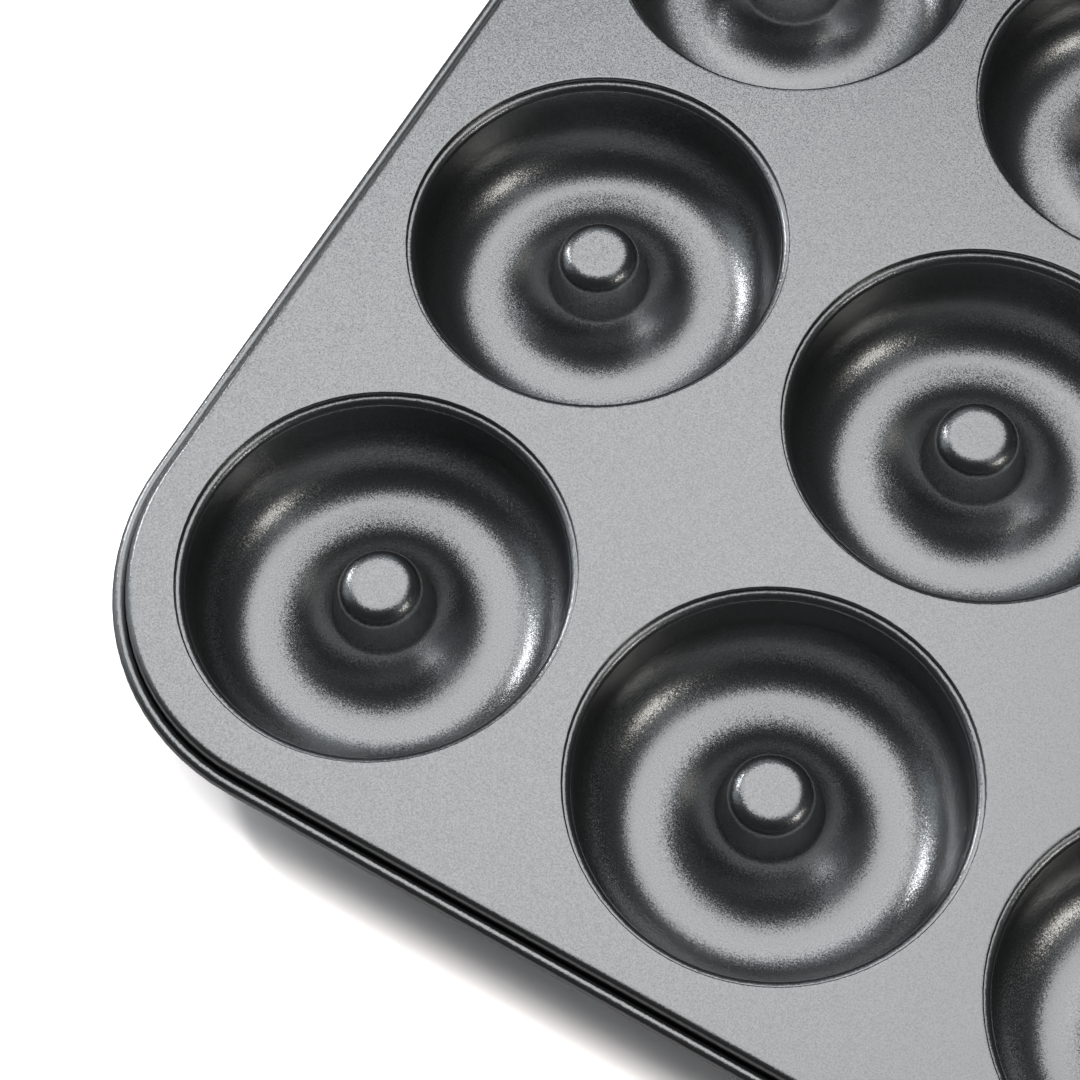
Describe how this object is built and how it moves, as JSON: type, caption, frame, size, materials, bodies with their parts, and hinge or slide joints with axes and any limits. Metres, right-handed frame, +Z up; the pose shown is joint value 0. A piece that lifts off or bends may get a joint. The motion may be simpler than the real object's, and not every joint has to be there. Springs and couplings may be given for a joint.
{
  "type": "savarin pan",
  "caption": "Rectangular baking pan pressed from one steel sheet, with ring-shaped cups round low posts, rounded corners and a curled edge.",
  "frame": {"origin": "centre of the pan's outline, at the level of the surface that it stands on", "axes": "+X along the long side, +Y along the short side, +Z up out of the cups"},
  "size_m": [0.3514, 0.2654, 0.0236],
  "materials": {
    "coating": "satin dark grey metallic non-stick coating"
  },
  "bodies": {
    "root": {"pan": "coating"}
  },
  "joints": []
}
